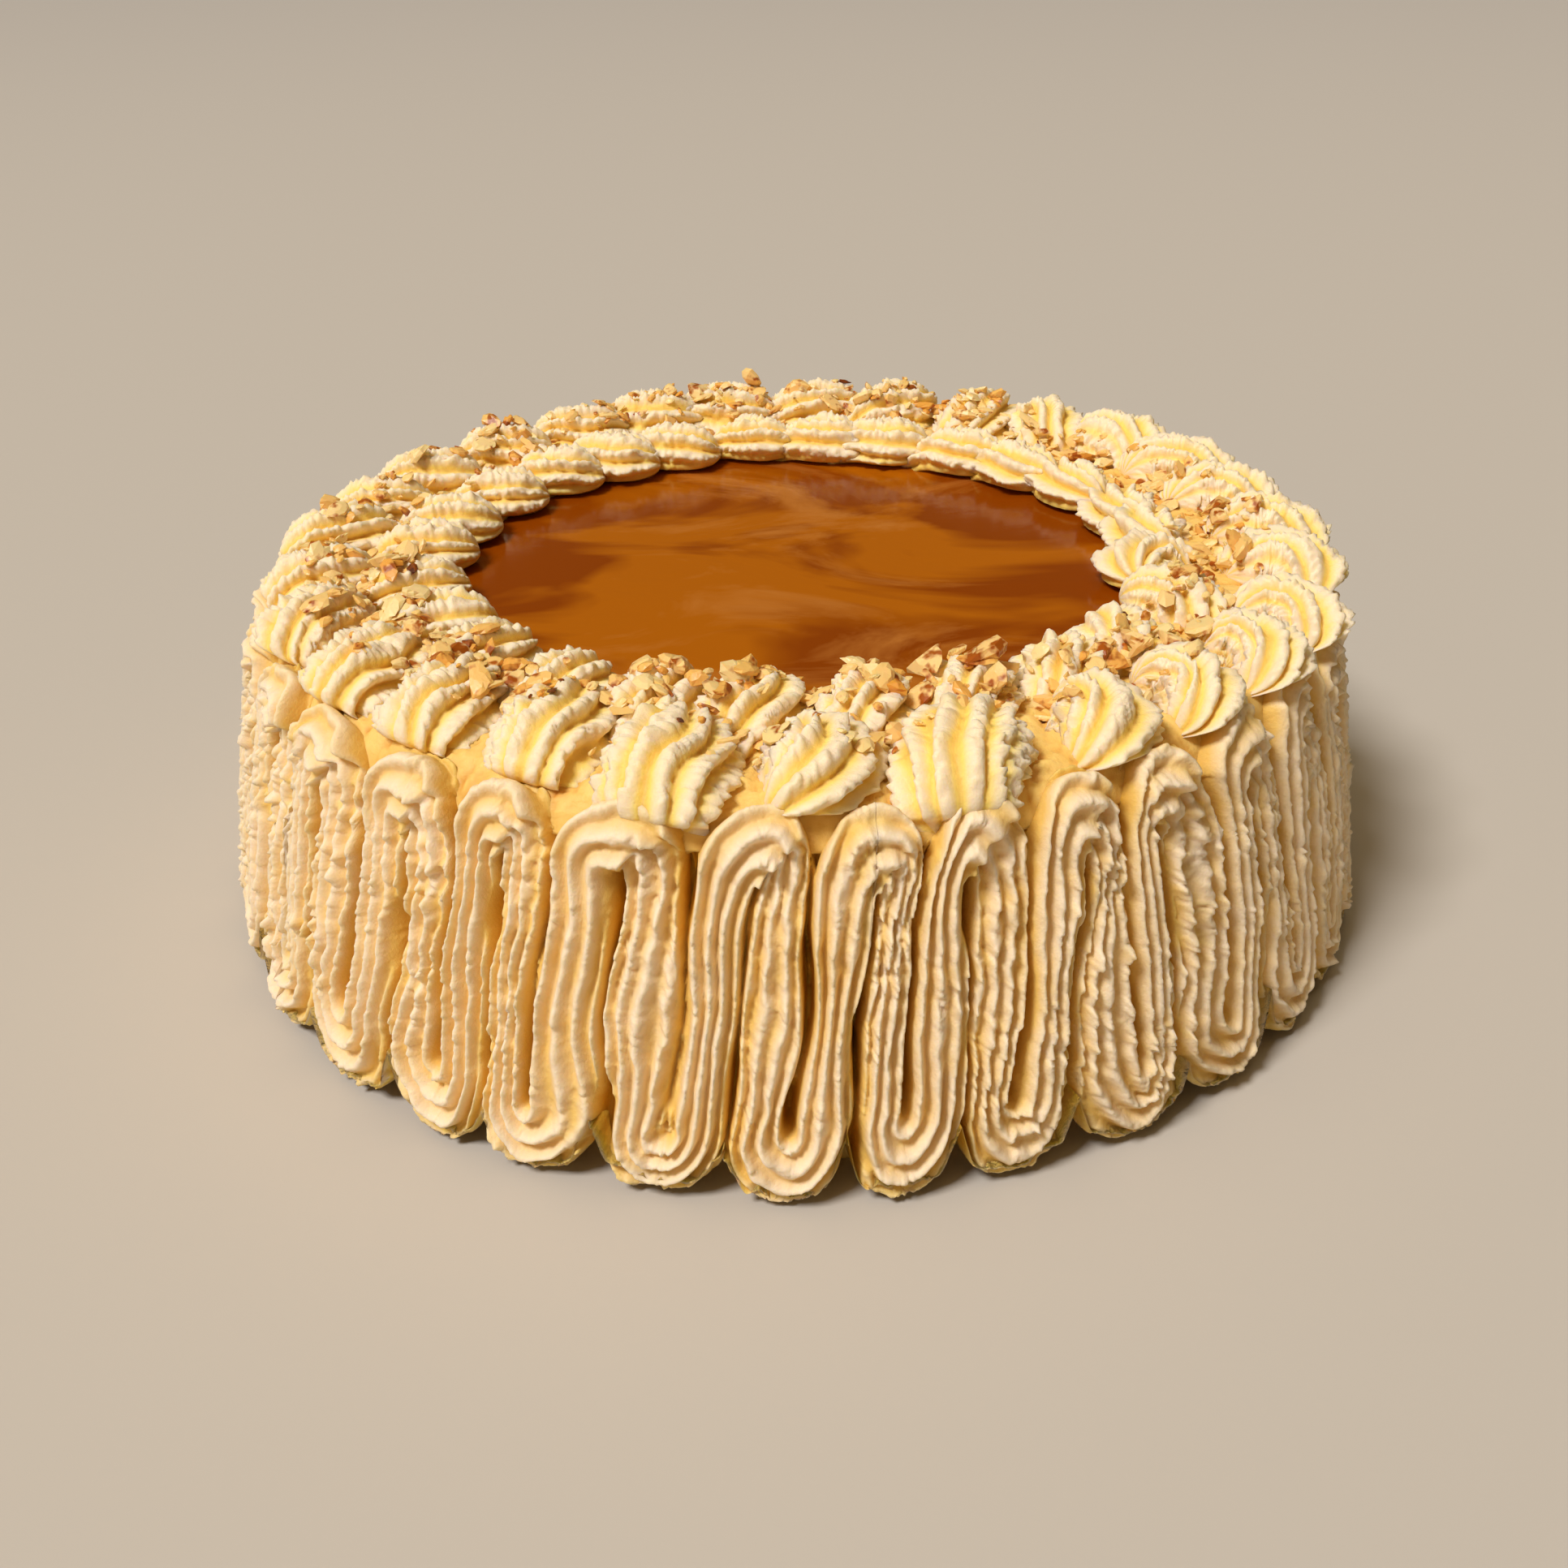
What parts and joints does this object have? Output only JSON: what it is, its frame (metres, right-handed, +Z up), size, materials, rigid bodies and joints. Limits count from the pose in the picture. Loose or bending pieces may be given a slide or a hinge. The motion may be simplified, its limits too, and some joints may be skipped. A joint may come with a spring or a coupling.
{
  "type": "caramel cake",
  "caption": "Round whole cake in cream, its side piped with an upright serpentine, its top rimmed with piped shells and chopped nuts round a glossy caramel centre.",
  "frame": {"origin": "centre of the cake's flat underside", "axes": "+Z up; -Y towards the side that the picture shows; +X to its right"},
  "size_m": [0.28, 0.2797, 0.0877],
  "materials": {
    "cream_coat": "thin smooth coat of pale yellow cream over the cake",
    "caramel": "glossy set caramel with darker and lighter patches",
    "side_cream": "piped cream, ridged by a star nozzle, with slightly torn crests",
    "rim_cream": "piped cream shells strewn with chopped, partly browned nuts"
  },
  "bodies": {
    "root": {"cake": "cream_coat", "caramel": "caramel", "side_piping": "side_cream", "rim_piping": "rim_cream"}
  },
  "joints": []
}
